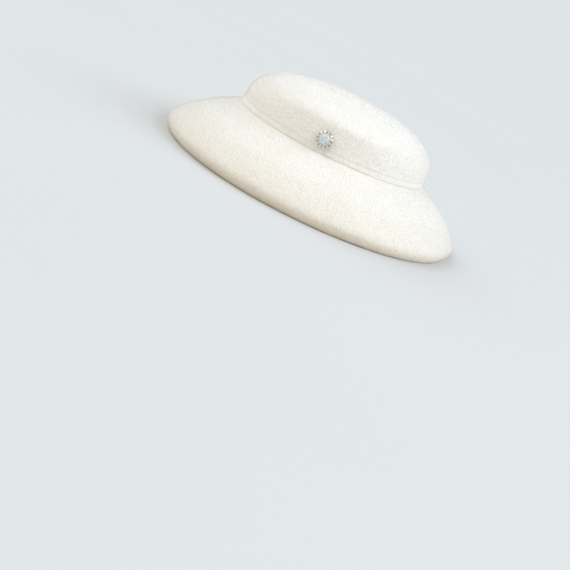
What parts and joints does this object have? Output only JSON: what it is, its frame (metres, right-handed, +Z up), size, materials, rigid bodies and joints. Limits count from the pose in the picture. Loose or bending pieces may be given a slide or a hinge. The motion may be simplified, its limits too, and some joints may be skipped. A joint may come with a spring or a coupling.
{
  "type": "tilt hat",
  "caption": "Small blocked felt tilt hat with a shallow round crown, a bell-shaped brim with a turned-under lip, and a claw-set faceted stone at the front.",
  "frame": {"origin": "centre of the ring on which the brim's lip rests", "axes": "+Z up out of the crown, -Y the front where the jewel is, +X to the wearer's left"},
  "size_m": [0.2779, 0.294, 0.0894],
  "materials": {
    "felt": "matt off-white velour felt with a short, softly brushed nap",
    "setting_metal": "polished rose-copper plating with dark, antiqued recesses",
    "stone": "clear, faceted, pale aqua"
  },
  "bodies": {
    "root": {"crown": "felt", "brim": "felt", "setting": "setting_metal", "stone": "stone"}
  },
  "joints": []
}
